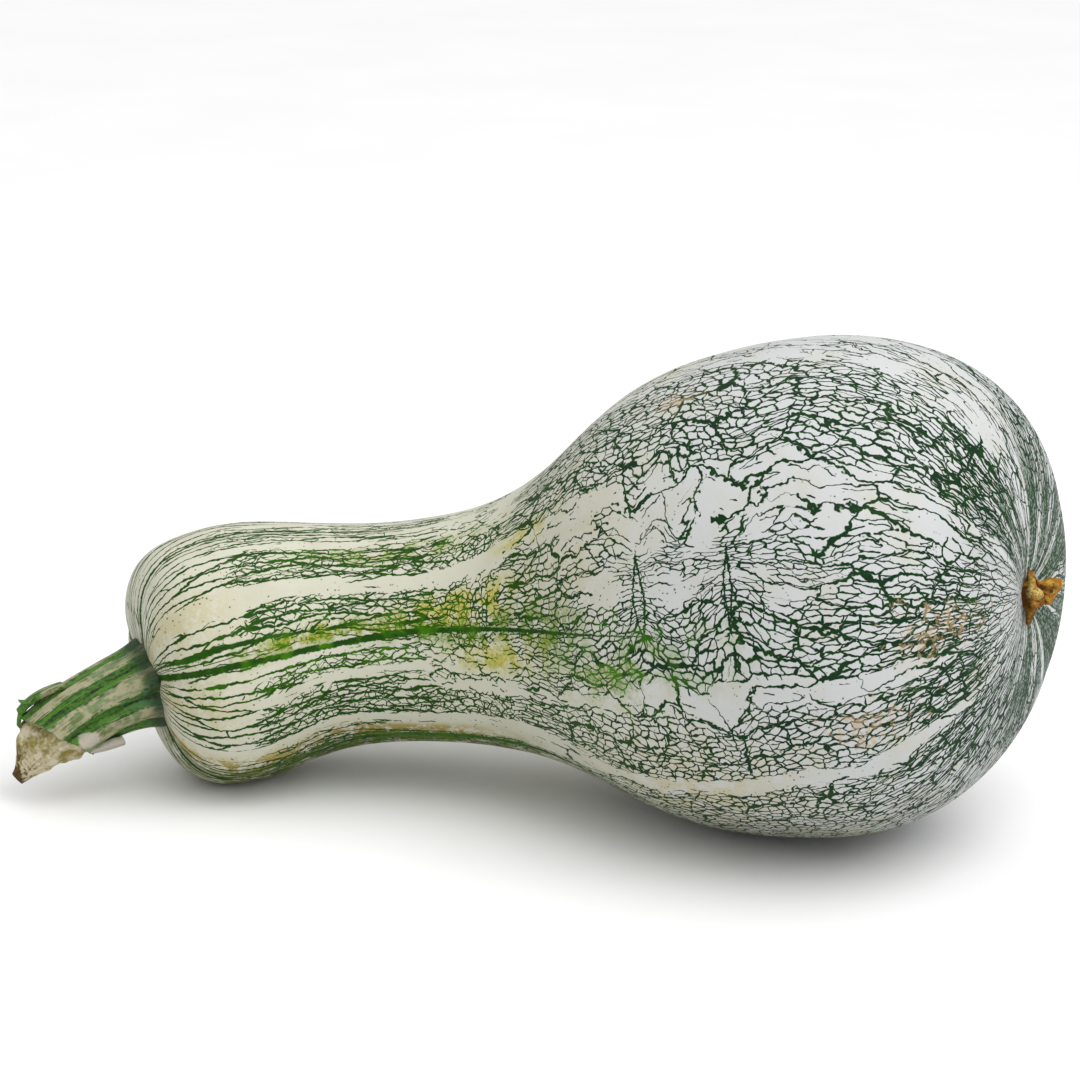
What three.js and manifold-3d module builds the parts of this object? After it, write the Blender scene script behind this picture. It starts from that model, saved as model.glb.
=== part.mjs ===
// Cushaw squash: a crook-necked fruit lying on its side, with the ridged stem it hung from and the corky
// scar that its blossom left. Millimetres, +Z up, +X from the stem end towards the blossom end. The origin
// is under the middle of the squash, on the surface that it lies on.

import * as THREE from 'three';
import { mergeVertices } from 'three/addons/utils/BufferGeometryUtils.js';
import Module from 'manifold-3d';

const wasm = await Module();
wasm.setup();

// ---- Driving dimensions ----------------------------------------------------------------------------------

// Centre line of the fruit, stem end first: control points of a cubic B-spline. It bows towards -Y at both
// ends and climbs towards the bowl, whose radius is twice the neck's.
const FRUIT_LINE = points([-163, -27, 49], [-105, 16, 61], [-25, 22, 66], [60, 13, 87], [145, -6, 112],
  [212, -26, 116]);

// Girth of the fruit: as slim as its waist, swollen round a place on the neck and, past the shoulder, into
// the bowl.
const FRUIT_LENGTH = 396;
const WAIST_RADIUS = 46.5;
const NECK = { at: 40, spread: 38, swelling: 9 };
const BOWL = { shoulder: 208, spread: 48, swelling: 57 };

// Each end is rounded off over a length. A squareness of 2 would make it a plain ellipse.
const STEM_END = { length: 30, squareness: 3.2 };
const BLOSSOM_END = { length: 112, squareness: 2.8 };

// The middle of each end dips, around the stem and under the scar that the blossom left.
const STEM_DIP = { depth: 2.5, reach: 22 };
const BLOSSOM_DIP = { depth: 2.2, reach: 12 };

const RINGS = 42;
const SIDES = 60;

// The skin has five furrows between its lobes, deep at the stem end and faint on the bowl.
const LOBES = 5;
const FIRST_FURROW = THREE.MathUtils.degToRad(14);
const FURROW_AT_STEM = 2;
const FURROW_ON_BOWL = 0.5;
const FURROW_FADE = 150;

// The scar is a knob that flares into a star at its top.
// Its sections: [height above the blossom end of the skin, radius, length of the star's points].
const SCAR_SECTIONS = [[-6, 4.5, 0], [-2, 6.5, 0], [2, 6.5, 1], [5, 8, 3], [7, 7.5, 3], [6, 3.5, 1]];
const SCAR_CENTRE_HEIGHT = 4;
const SCAR_POINTS = 5;

// Centre line of the stem, from inside the fruit to where its rind is broken off.
const STEM_LINE = new THREE.CubicBezierCurve3(
  ...points([-154, -19, 48], [-170, -31, 44.5], [-183.5, -43.5, 40], [-193, -50, 30]));
const STEM_RADIUS = 15;
const STEM_FLARE = 4;
const STEM_FLARE_LENGTH = 9;
const STEM_SEAT = 10; // how deep it sits in the fruit
const STEM_RIDGES = 5;
const MAIN_RIDGE = 0.06;
const MINOR_RIDGE = 0.05;
const STEM_RINGS = 10;
const STEM_SIDES = 30;

// The pale core stands out of the broken rind and ends in an off-centre point.
// Sections of the core: [distance past the break, share of the stem's radius, how far the centre drops].
const CORE_SECTIONS = [[0, 0.86, 0], [5, 0.8, 0.5], [12, 0.52, 1], [20, 0.2, 1.5]];
const CORE_TIP = 24.5;
const CORE_TIP_DROP = 2;

// Strips of torn rind on the stem: their ends as distances past the break, the angle they lie at, their
// width, and how far the free end curls away.
const TORN_STRIPS = [
  { root: -11, tip: 6, angle: THREE.MathUtils.degToRad(77), width: 7, curl: 4 },
  { root: -3, tip: -20, angle: THREE.MathUtils.degToRad(237), width: 6, curl: 6 },
];
const STRIP_THICKNESS = 2.2;
const STRIP_SECTIONS = 5;

// Clear gap between the fruit and what grew on it, which keeps the solids apart.
const GAP = 0.3;

// ---- Shared geometry -------------------------------------------------------------------------------------

/** Vectors from [x, y, z] or [x, y] rows. */
function points(...rows) {
  return rows.map(([x, y, z = 0]) => new THREE.Vector3(x, y, z));
}

/** Uniform cubic B-spline. Its first and last control points only steer the ends. */
class BSpline extends THREE.Curve {
  constructor(control) {
    super();
    this.control = control;
  }

  getPoint(t, target = new THREE.Vector3()) {
    const spans = this.control.length - 3;
    const first = Math.min(Math.floor(t * spans), spans - 1);
    const u = t * spans - first;
    const weights = [(1 - u) ** 3, 3 * u ** 3 - 6 * u ** 2 + 4, -3 * u ** 3 + 3 * u ** 2 + 3 * u + 1, u ** 3];
    target.set(0, 0, 0);
    weights.forEach((weight, i) => target.addScaledVector(this.control[first + i], weight / 6));
    return target;
  }
}

/** B-spline that starts and ends straight, exactly on its outer control points. */
function freeSpline(control) {
  const beyond = (end, next) => end.clone().multiplyScalar(2).sub(next);
  return new BSpline([beyond(control[0], control[1]), ...control, beyond(control.at(-1), control.at(-2))]);
}

/** Cross-section axes at a distance along a curve, which runs on straight past both of its ends. */
function sectionAt(curve, distance) {
  const length = curve.getLength();
  const u = THREE.MathUtils.clamp(distance / length, 0, 1);
  const along = curve.getTangentAt(u);
  const side = new THREE.Vector3().crossVectors(along, new THREE.Vector3(0, 0, 1)).normalize();
  const up = new THREE.Vector3().crossVectors(side, along);
  const centre = curve.getPointAt(u).addScaledVector(along, distance - u * length);
  return { centre, side, up };
}

/** Point of a cross-section at an angle from its side axis towards its up axis. */
function pointAt(curve, distance, angle, radius, drop = 0) {
  const { centre, side, up } = sectionAt(curve, distance);
  return centre
    .addScaledVector(side, radius * Math.cos(angle))
    .addScaledVector(up, radius * Math.sin(angle) - drop);
}

/** One ring of points, with pointOf giving the point at each angle. */
function ring(sides, pointOf) {
  return Array.from({ length: sides }, (_, i) => pointOf(FIRST_FURROW + (i / sides) * 2 * Math.PI));
}

/** Closed solid through rings of equal length, with a fan to one point at each end. */
function loft(start, rings, end) {
  const sides = rings[0].length;
  const vertices = [start, ...rings.flat(), end];
  const vertex = (row, i) => 1 + row * sides + (i % sides);
  const faces = [];
  for (let i = 0; i < sides; i += 1) {
    faces.push(0, vertex(0, i), vertex(0, i + 1));
    faces.push(vertices.length - 1, vertex(rings.length - 1, i + 1), vertex(rings.length - 1, i));
    for (let row = 0; row < rings.length - 1; row += 1) {
      faces.push(vertex(row, i), vertex(row + 1, i), vertex(row, i + 1));
      faces.push(vertex(row, i + 1), vertex(row + 1, i), vertex(row + 1, i + 1));
    }
  }
  return new THREE.BufferGeometry().setFromPoints(vertices).setIndex(faces);
}

/** Solid for a boolean, from closed geometry. */
function solidOf(geometry) {
  const bare = geometry.clone();
  bare.deleteAttribute('normal');
  bare.deleteAttribute('uv');
  const merged = mergeVertices(bare);
  return new wasm.Manifold(new wasm.Mesh({
    numProp: 3,
    vertProperties: new Float32Array(merged.attributes.position.array),
    triVerts: new Uint32Array(merged.index.array),
  }));
}

/** Geometry of a solid, with its normals. */
function geometryOf(solid) {
  const { vertProperties, triVerts } = solid.getMesh();
  const geometry = new THREE.BufferGeometry();
  geometry.setAttribute('position', new THREE.BufferAttribute(vertProperties, 3));
  geometry.setIndex(new THREE.BufferAttribute(triVerts, 1));
  geometry.computeVertexNormals();
  return geometry;
}

// ---- Fruit -----------------------------------------------------------------------------------------------

/** Share of the full radius at a distance in from the tip of a rounded end. */
function roundedOff(distance, { length, squareness }) {
  const share = Math.min(1, distance / length);
  return (1 - (1 - share) ** squareness) ** (1 / squareness);
}

/** Plain radius of the fruit at a distance from its stem end. */
function fruitRadius(distance) {
  const neck = NECK.swelling * Math.exp(-(((distance - NECK.at) / NECK.spread) ** 2));
  const bowl = (BOWL.swelling / 2) * (1 + Math.tanh((distance - BOWL.shoulder) / BOWL.spread));
  const ends = roundedOff(distance, STEM_END) * roundedOff(FRUIT_LENGTH - distance, BLOSSOM_END);
  return (WAIST_RADIUS + neck + bowl) * ends;
}

/** Outline of the fruit as (distance, radius), with its points closest together at both ends. */
class Outline extends THREE.Curve {
  getPoint(t, target = new THREE.Vector3()) {
    const distance = (FRUIT_LENGTH / 2) * (1 - Math.cos(Math.PI * t));
    return target.set(distance, fruitRadius(distance), 0);
  }
}

const fruitLine = freeSpline(FRUIT_LINE);
const outline = new Outline();

/** Depth of the skin below its plain outline: the furrows between the lobes, and the dip at each end. */
function skinDepth(t, distance, radius, angle) {
  const furrow = (1 - Math.abs(Math.sin((LOBES / 2) * (angle - FIRST_FURROW)))) ** 2;
  const fade = 1 - THREE.MathUtils.smoothstep(distance, 0, FURROW_FADE);
  const dip = t > 0.5 ? BLOSSOM_DIP : STEM_DIP;
  const atPole = Math.min(1, radius / dip.reach);
  return furrow * atPole * THREE.MathUtils.lerp(FURROW_ON_BOWL, FURROW_AT_STEM, fade)
    + dip.depth * Math.exp(-((radius / dip.reach) ** 2));
}

/** Point of the skin, t from 0 at the stem end to 1 at the blossom end, grown outwards by a clearance. */
function skinPoint(t, angle, grown) {
  const { x: distance, y: radius } = outline.getPoint(t);
  const slope = outline.getTangent(t);
  const depth = skinDepth(t, distance, radius, angle) - grown;
  return pointAt(fruitLine, distance + slope.y * depth, angle, radius - slope.x * depth);
}

/** The whole fruit before it is flattened where it lies. */
function fruitSkin(grown = 0) {
  const rings = Array.from({ length: RINGS - 1 }, (_, i) =>
    ring(SIDES, (angle) => skinPoint((i + 1) / RINGS, angle, grown)));
  return loft(skinPoint(0, 0, grown), rings, skinPoint(1, 0, grown));
}

/** Everything below the surface that the squash lies on. */
function underground() {
  const size = 2 * fruitLine.getLength();
  return new THREE.BoxGeometry(size, size, size).translate(0, 0, -size / 2);
}

/** The fruit, with a small flat under its neck end and another under its bowl, where its weight rests. */
function fruit() {
  return geometryOf(solidOf(fruitSkin()).subtract(solidOf(underground())));
}

// ---- Stem ------------------------------------------------------------------------------------------------

const stemLength = STEM_LINE.getLength();

/** Radius of the ridged stem: five main ridges with a lower one between each two, flaring into the fruit. */
function stemRadius(distance, angle) {
  const flare = STEM_FLARE * Math.exp(-Math.max(0, distance - STEM_SEAT) / STEM_FLARE_LENGTH);
  const ridges = MAIN_RIDGE * Math.cos(STEM_RIDGES * angle) + MINOR_RIDGE * Math.cos(2 * STEM_RIDGES * angle);
  return (STEM_RADIUS + flare) * (1 + ridges);
}

/** The ridged length of the stem and the pale core that stands out of its broken end. */
function stemShaft() {
  const rind = Array.from({ length: STEM_RINGS }, (_, i) => (i / (STEM_RINGS - 1)) * stemLength)
    .map((distance) => ring(STEM_SIDES, (angle) =>
      pointAt(STEM_LINE, distance, angle, stemRadius(distance, angle))));
  const core = CORE_SECTIONS.map(([past, share, drop]) => ring(STEM_SIDES, (angle) =>
    pointAt(STEM_LINE, stemLength + past, angle, share * stemRadius(stemLength, angle), drop)));
  return loft(
    pointAt(STEM_LINE, 0, 0, 0),
    [...rind, ...core],
    pointAt(STEM_LINE, stemLength + CORE_TIP, 0, 0, CORE_TIP_DROP));
}

/** A strip of torn rind that starts inside the stem and curls off it towards its free end. */
function tornStrip({ root, tip, angle, width, curl }) {
  const halfAngle = width / 2 / STEM_RADIUS;
  const sections = Array.from({ length: STRIP_SECTIONS }, (_, i) => {
    const share = i / (STRIP_SECTIONS - 1);
    const distance = stemLength + THREE.MathUtils.lerp(root, tip, share);
    const outer = STEM_RADIUS + THREE.MathUtils.lerp(-STRIP_THICKNESS, curl, share ** 2);
    const inner = outer - STRIP_THICKNESS;
    const turn = Math.sign(tip - root) * halfAngle;
    return [[inner, -turn], [outer, -turn], [outer, turn], [inner, turn]]
      .map(([radius, offset]) => pointAt(STEM_LINE, distance, angle + offset, radius));
  });
  const middle = (section) => section.reduce((sum, corner) => sum.add(corner), new THREE.Vector3())
    .divideScalar(section.length);
  return loft(middle(sections[0]), sections, middle(sections.at(-1)));
}

/** The stem, seated in the hollow of the fruit. */
function stem() {
  const strips = TORN_STRIPS.map((strip) => solidOf(tornStrip(strip)));
  const whole = strips.reduce((solid, strip) => solid.add(strip), solidOf(stemShaft()));
  return geometryOf(whole.subtract(solidOf(fruitSkin(GAP))));
}

// ---- Blossom scar ----------------------------------------------------------------------------------------

/** The corky knob in the dip at the blossom end. */
function blossomScar() {
  const onAxis = (height) => pointAt(fruitLine, FRUIT_LENGTH + height, 0, 0);
  const rings = SCAR_SECTIONS.map(([height, radius, reach]) => ring(SIDES, (angle) =>
    pointAt(fruitLine, FRUIT_LENGTH + height, angle, radius + reach * Math.cos(SCAR_POINTS * angle))));
  const knob = loft(onAxis(SCAR_SECTIONS[0][0]), rings, onAxis(SCAR_CENTRE_HEIGHT));
  return geometryOf(solidOf(knob).subtract(solidOf(fruitSkin(GAP))));
}

// ---- Assembly --------------------------------------------------------------------------------------------

/** A named piece with its own material. */
function piece(name, geometry, finish) {
  const mesh = new THREE.Mesh(geometry, new THREE.MeshStandardMaterial({ metalness: 0, ...finish }));
  mesh.name = name;
  return mesh;
}

const squash = new THREE.Group();
squash.add(
  piece('fruit', fruit(), { color: 0xbfc4ac, roughness: 0.45 }),
  piece('stem', stem(), { color: 0x75824a, roughness: 0.7 }),
  piece('blossom_scar', blossomScar(), { color: 0xb0823c, roughness: 0.85 }),
);

// Put the origin under the middle of the squash. The flats already lie at z = 0.
const middle = new THREE.Box3().setFromObject(squash, true).getCenter(new THREE.Vector3());
squash.position.set(-middle.x, -middle.y, 0);
squash.updateMatrixWorld(true);

export default squash;
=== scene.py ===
"""Looks of the cushaw squash: its striped and netted rind, its ridged stem and its corky blossom scar.

Shapes are worked out in millimetres, in the frame that the CAD model's dimensions are given in, and a mesh
becomes metres when it is built. A place on the rind is its distance along the fruit from the stem end, in
millimetres, and its angle round the fruit, in degrees, from 0 at the front over 90 on top."""

import functools
import math
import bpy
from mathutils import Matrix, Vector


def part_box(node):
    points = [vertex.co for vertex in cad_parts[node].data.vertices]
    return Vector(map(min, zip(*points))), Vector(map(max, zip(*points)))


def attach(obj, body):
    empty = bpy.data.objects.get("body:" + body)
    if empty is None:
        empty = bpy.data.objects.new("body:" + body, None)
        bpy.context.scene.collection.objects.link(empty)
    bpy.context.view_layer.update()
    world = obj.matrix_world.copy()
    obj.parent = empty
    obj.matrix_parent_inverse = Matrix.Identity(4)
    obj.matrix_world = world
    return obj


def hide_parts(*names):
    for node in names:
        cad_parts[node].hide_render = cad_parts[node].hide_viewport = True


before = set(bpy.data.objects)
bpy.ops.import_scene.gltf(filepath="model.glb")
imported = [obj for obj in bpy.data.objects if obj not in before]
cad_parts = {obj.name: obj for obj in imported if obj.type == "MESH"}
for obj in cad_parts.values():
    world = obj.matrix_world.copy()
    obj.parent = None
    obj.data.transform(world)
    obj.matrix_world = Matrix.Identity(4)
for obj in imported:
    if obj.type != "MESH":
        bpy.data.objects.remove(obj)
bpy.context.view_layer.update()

import types
import typing

import bpy
import numpy as np
from mathutils import Vector, noise

MM = 0.001

# ---- Shape of the fruit, as in the CAD model ----

FRUIT_LINE = [(-163, -27, 49), (-105, 16, 61), (-25, 22, 66), (60, 13, 87), (145, -6, 112), (212, -26, 116)]

# Girth of the fruit: as slim as its waist, swollen round a place on the neck and, past the shoulder, into the
# bowl. Each end is rounded off: [length, squareness], where 2 would be a plain ellipse.
FRUIT_LENGTH = 396
WAIST_RADIUS = 46.5
NECK_AT, NECK_SPREAD, NECK_SWELLING = 40, 38, 9
SHOULDER_AT, SHOULDER_SPREAD, BOWL_SWELLING = 208, 48, 57
STEM_END, BLOSSOM_END = (30, 3.2), (112, 2.8)

FRUIT_ROWS = 290
FRUIT_SIDES = 320
LINE_SAMPLES = 2000

LOBES = 5
FIRST_FURROW = 14
FURROW_AT_STEM = 2
FURROW_ON_BOWL = 0.5
FURROW_FADE = 150
# Dip in the middle of each end: [depth, reach].
STEM_DIP, BLOSSOM_DIP = (2.5, 22), (2.2, 12)

# Slow swellings of the skin, [size across, height], which die out towards the surface that the fruit lies on.
SWELLINGS = [(70, 0.8), (24, 0.2)]
SWELLINGS_END, SWELLINGS_FULL = 4, 25
POLE_RADIUS = 12  # within this radius they die out towards each end

# ---- Shape of the stem ----

STEM_LINE = [(-154, -19, 48), (-170, -31, 44.5), (-183.5, -43.5, 40), (-193, -50, 30)]
STEM_START = 4
STEM_RIND_ROWS, STEM_CORE_ROWS = 110, 70
STEM_SIDES = 200
GROOVE_RADIUS = 13.9
STEM_FLARE = 4
STEM_FLARE_LENGTH = 9
STEM_SEAT = 10  # how deep it sits in the fruit

# Ridges of the stem: [angle, height over the grooves].
RIDGES = [(-8, 2.2), (32, 1.5), (72, 2.2), (107, 1.7), (150, 2.6), (204, 2.8), (246, 1.8), (294, 2.4),
          (326, 1.6)]

# Powers that shape the grooves between the ridges.
GROOVE_SHARPNESS, GROOVE_LOSS = 4, 1.5

# Noise on the stem: [size across, degrees or height], and its length per length of stem.
RIDGE_WANDER, FIBRES = [(9, 7)], [(1.5, 0.25), (4, 0.4)]
WANDER_ALONG, FIBRES_ALONG, SPLINTERS_ALONG = 0.3, 0.12, 0.4

# The rind breaks off along a slanting, ragged line, where it curls out. Strips of it are torn loose.
BREAK_SLANT, BREAK_SLANT_ANGLE = 5, 70
BREAK_RAGGED = [(7, 3.0), (2.5, 1.2)]
CURL_HEIGHT, CURL_REACH = 0.9, 2
LIP = 1.0  # how far under the rind's edge the core begins

# Where the skin of the stem has peeled off behind the break: its angle, spread and half its length.
PEELED_ANGLE, PEELED_SPREAD, PEELED_LENGTH = 196, 15, 5

# Core past the break: [share of its length, share of the stem's radius, how far its centre drops].
CORE_PROFILE = [(0, 0.95, 0), (0.15, 0.93, 0), (0.4, 0.72, 0.3), (0.65, 0.46, 1), (0.85, 0.3, 1.6),
                (1, 0.22, 1.8)]
CORE_LENGTH = 26.5
CORE_TIP_HOLLOW = 2
CORE_ROUGHNESS = [(7, 0.26), (3, 0.2), (1.4, 0.08)]

# Torn strips: rows of [distance past the break, angle, height over the stem, width], then the strip's
# thickness and its tint, from 0, green, to 1, dry and pale. A green one is coloured like a groove this deep.
STRIP_GREEN = 0.45
STRIP_SQUARENESS = 0.4  # power that squares a strip's round section
STRIP_RAGGED = [(3, 0.25)]
STRIP_NOISE_ROUND = 2  # millimetres of noise per radian round a strip
STRIPS = [
    ([(-13, 78, 1.0, 7), (-8, 77, 3.0, 7), (-3, 76, 4.6, 6.5), (2, 75, 5.0, 6), (6.5, 74, 4.4, 5)], 3.2, 0.0),
    ([(0, 76, 4.5, 5), (1.4, 77, 5.8, 4.6), (2.4, 78, 7.2, 4)], 3.0, 0.0),
    ([(5, 74, 4.2, 4.5), (8, 75, 2.4, 4), (10.5, 77, 0, 3.4)], 2.4, 0.0),
    ([(-3, 236, -0.6, 6), (-8, 236, 1.6, 6), (-13, 237, 3.0, 6), (-18, 238, 4.0, 6), (-23, 238, 4.6, 5.5)],
     3.8, 0.7),
]

# ---- Shape of the blossom scar ----

# Points of the star: [angle, reach past the knob, height over the knob's foot, half width in degrees].
SCAR_POINTS = [(20, 0.6, 2.5, 34), (78, 4.6, -3.0, 16), (156, 4.6, 6.5, 20), (222, 1.6, 3.0, 18),
               (292, 7.0, -2.0, 11)]

# Sections of the knob: [height, radius, share of the points' reach, share of their height].
SCAR_SECTIONS = [(-5, 4.4, 0, 0), (-1, 5.6, 0, 0), (1, 5.0, 0.1, 0.1), (2.4, 5.2, 0.6, 0.5),
                 (3.4, 5.8, 1, 0.9), (5.2, 5.4, 1, 1.05), (6.6, 4.4, 0.5, 1.0), (7, 2.6, 0.2, 0.8),
                 (6.4, 0, 0, 0.5)]
SCAR_ROWS, SCAR_SIDES = 90, 170
SCAR_ROUGHNESS = [(4.5, 1.0), (1.6, 0.45)]
SCAR_LIFT = 0.6  # share of the roughness that shows along the knob
SCAR_POLE = 2  # within this radius the roughness dies out towards the tip

# How dented a place is, for the painted shade in its hollows, and what roughness and the reach of the star
# take off that.
DENT, DENT_LESS_ROUGH, DENT_LESS_STAR = 0.5, 0.6, 0.25

# ---- Camera and light ----

CAMERA_AZIMUTH, CAMERA_ELEVATION = 14, 17.1
CAMERA_DISTANCE = 1400
CAMERA_TARGET = (-2.4, 26.6, 106.7)
CAMERA_LENS = 109.8

KEY_AZIMUTH, KEY_ELEVATION = 58, 53
KEY_DISTANCE, KEY_SIZE, KEY_WATTS = 1.6, 1.3, 13
# Strength of the white sky at the horizon, and what it gains overhead and towards the right.
SKY_LOW, SKY_OVERHEAD, SKY_RIGHT = 0.16, 1.3, 0.12
FLOOR_HALF_SIZE = 60


# ---- Curves and surfaces ----

def b_spline(control, t):
    """Points of a uniform cubic B-spline at t, 0 to 1. Its outer control points only steer the ends."""
    control = np.asarray(control, float)
    spans = len(control) - 3
    first = np.minimum((t * spans).astype(int), spans - 1)
    u = (t * spans - first)[..., None]
    weights = ((1 - u) ** 3, 3 * u**3 - 6 * u**2 + 4, -3 * u**3 + 3 * u**2 + 3 * u + 1, u**3)
    return sum(weight * control[first + i] for i, weight in enumerate(weights)) / 6


def bezier(control, t):
    """Points of a cubic Bezier curve at t, 0 to 1."""
    control = np.asarray(control, float)
    t = t[..., None]
    weights = ((1 - t) ** 3, 3 * t * (1 - t) ** 2, 3 * t**2 * (1 - t), t**3)
    return sum(weight * point for weight, point in zip(weights, control))


def open_spline(points, t):
    """B-spline that starts and ends straight, exactly on its outer control points."""
    p = np.asarray(points, float)
    return b_spline([2 * p[0] - p[1], *p, 2 * p[-1] - p[-2]], t)


def unit(vectors):
    return vectors / np.linalg.norm(vectors, axis=-1, keepdims=True)


def smoothstep(value, low, high):
    share = np.clip((value - low) / (high - low), 0, 1)
    return share * share * (3 - 2 * share)


def stacked(*values):
    """Vectors from components that broadcast together."""
    return np.stack(np.broadcast_arrays(*values), -1)


def rough(points, sizes_and_heights):
    """Smooth noise at each point, summed over [size of its features, height]."""
    flat = points.reshape(-1, 3)
    heights = sum(height * np.array([noise.noise(Vector(p)) for p in flat / size])
                  for size, height in sizes_and_heights)
    return heights.reshape(points.shape[:-1])


class Spine:
    """A centre line measured by its length, which runs on straight past both of its ends."""

    def __init__(self, points):
        self.points = points
        self.reached = np.concatenate([[0], np.cumsum(np.linalg.norm(np.diff(points, axis=0), axis=1))])
        self.length = self.reached[-1]
        self.tangents = unit(np.gradient(points, self.reached, axis=0))

    def _at(self, values, distance):
        return np.stack([np.interp(distance, self.reached, column) for column in values.T], axis=-1)

    def place(self, distance, angle, radius, drop=0.0):
        """Points off the line: the angle, in degrees, turns from its side towards its upper side."""
        distance, angle, radius, drop = np.broadcast_arrays(distance, np.radians(angle), radius, drop)
        inside = np.clip(distance, 0, self.length)
        along = unit(self._at(self.tangents, inside))
        side = unit(np.cross(along, (0, 0, 1)))
        up = np.cross(side, along)
        centre = self._at(self.points, inside) + along * (distance - inside)[..., None]
        return (centre + side * (radius * np.cos(angle))[..., None]
                + up * (radius * np.sin(angle) - drop)[..., None])


def face_corners(grid):
    """A grid's values at the corners of its faces: quads, with triangles at both ends, which are points."""
    quads = np.stack([grid[:-1, :-1], grid[1:, :-1], grid[1:, 1:], grid[:-1, 1:]], axis=2)
    return [quads[0][:, :3], *quads[1:-1], quads[-1][:, [0, 1, 3]]]


class Skin:
    """A mesh made of tubes, each a grid of rings, with values at the corners of its faces."""

    def __init__(self):
        self.vertices, self.faces = [], []
        self.corners = {}

    def add_tube(self, grid, values):
        """A tube closed at both ends by its first and last rows, which are points. Its last column repeats
        the first, so that the values, which are vectors on the same grid, may jump there."""
        rows, columns = grid.shape[:2]
        base = len(self.vertices)
        self.vertices += [grid[0, 0], *grid[1:-1, :-1].reshape(-1, 3), grid[-1, 0]]
        numbers = np.zeros((rows, columns), int) + base
        numbers[1:-1, :-1] += 1 + np.arange((rows - 2) * (columns - 1)).reshape(rows - 2, columns - 1)
        numbers[-1] = len(self.vertices) - 1
        numbers[:, -1] = numbers[:, 0]
        for block in face_corners(numbers):
            self.faces += block.tolist()
        for name, value in values.items():
            blocks = face_corners(np.broadcast_to(value, grid.shape))
            self.corners.setdefault(name, []).extend(block.reshape(-1, 3) for block in blocks)

    def build(self, name, shift, material):
        """The finished piece, moved by a shift to where the CAD model has it."""
        mesh = bpy.data.meshes.new(name)
        mesh.from_pydata((np.array(self.vertices) + shift) * MM, [], self.faces)
        mesh.shade_smooth()
        for layer, blocks in self.corners.items():
            attribute = mesh.attributes.new(layer, "FLOAT_VECTOR", "CORNER")
            attribute.data.foreach_set("vector", np.concatenate(blocks).astype(np.float32).ravel())
        mesh.materials.append(material)
        piece = bpy.data.objects.new(name, mesh)
        bpy.context.scene.collection.objects.link(piece)
        return piece


# ---- Shader arithmetic ----

class Wire:
    """A value in a material. Sums of wires and numbers add the nodes that work them out."""

    def __init__(self, socket):
        self.socket = socket


def add_operators(name, operation):
    """Makes an arithmetic operator work on a wire and a number, or two wires, either way round."""
    setattr(Wire, f"__{name}__", lambda self, other: maths(operation, self, other))
    setattr(Wire, f"__r{name}__", lambda self, other: maths(operation, other, self))


for name, operation in (("add", "ADD"), ("sub", "SUBTRACT"), ("mul", "MULTIPLY"), ("truediv", "DIVIDE")):
    add_operators(name, operation)


class Canvas:
    """The node tree that new nodes go into."""
    tree = None


def new_material(name):
    """An empty material, which the nodes made after it go into."""
    material = bpy.data.materials.new(name)
    material.use_nodes = True
    material.node_tree.nodes.clear()
    Canvas.tree = material.node_tree
    return material


def node(kind, inputs, output=0, **settings):
    """Adds a node and returns one of its outputs."""
    made = Canvas.tree.nodes.new(kind)
    for name, value in settings.items():
        setattr(made, name, value)
    for key, value in inputs.items():
        if isinstance(value, Wire):
            Canvas.tree.links.new(value.socket, made.inputs[key])
        else:
            made.inputs[key].default_value = value
    return Wire(made.outputs[output])


def maths(operation, *values):
    return node("ShaderNodeMath", dict(enumerate(values)), operation=operation)


def vector_maths(operation, *values, output=0):
    return node("ShaderNodeVectorMath", dict(enumerate(values)), output=output, operation=operation)


def combined(x, y, z):
    return node("ShaderNodeCombineXYZ", {0: x, 1: y, 2: z})


def separated(vector):
    parts = node("ShaderNodeSeparateXYZ", {0: vector}).socket.node
    return [Wire(output) for output in parts.outputs]


def stored(name):
    """The three parts of a vector that the mesh holds."""
    return separated(node("ShaderNodeAttribute", {}, output=1, attribute_name=name))


def fade(value, low, high, start=0.0, end=1.0):
    """Goes smoothly from start to end as the value goes from low to high."""
    return node("ShaderNodeMapRange", dict(enumerate((value, low, high, start, end))),
                interpolation_type="SMOOTHSTEP", clamp=False)


def hump(value, centre, reach):
    """1 where the value is at the centre, down to 0 a reach away."""
    return fade(maths("ABSOLUTE", value - centre), 0.0, reach, 1.0, 0.0)


def any_of(masks):
    return functools.reduce(lambda a, b: maths("MAXIMUM", a, b), masks)


def clouds(vector, size, detail=2.0, roughness=0.5, output=0, **settings):
    """Smooth noise around 0.5, with features of a size."""
    return node("ShaderNodeTexNoise", {"Vector": vector, "Scale": 1 / size, "Detail": detail,
                                       "Roughness": roughness}, output=output, **settings)


def drift(vector, size, detail):
    """Smooth noise as a vector, from about -0.5 to 0.5 each way."""
    return vector_maths("SUBTRACT", clouds(vector, size, detail, output=1), (0.5, 0.5, 0.5))


SPECK_EDGE = 0.3  # share of a speck's radius over which it is blurred


def specks(vector, spacing, radius):
    """Dots of a radius, each somewhere in a cell of its own."""
    off = node("ShaderNodeTexVoronoi", {"Vector": vector, "Scale": 1 / spacing})
    return fade(off, radius * (1 + SPECK_EDGE) / spacing, radius * (1 - SPECK_EDGE) / spacing)


def mixed(factor, a, b):
    """Colour between a and b."""
    return node("ShaderNodeMix", {0: factor, 6: a, 7: b}, output=2, data_type="RGBA")


def on_drum(radius, angle, length):
    """Place on a drum, for noise that meets itself round the back."""
    turn = maths("RADIANS", angle)
    return combined(radius * maths("COSINE", turn), radius * maths("SINE", turn), length)


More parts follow.
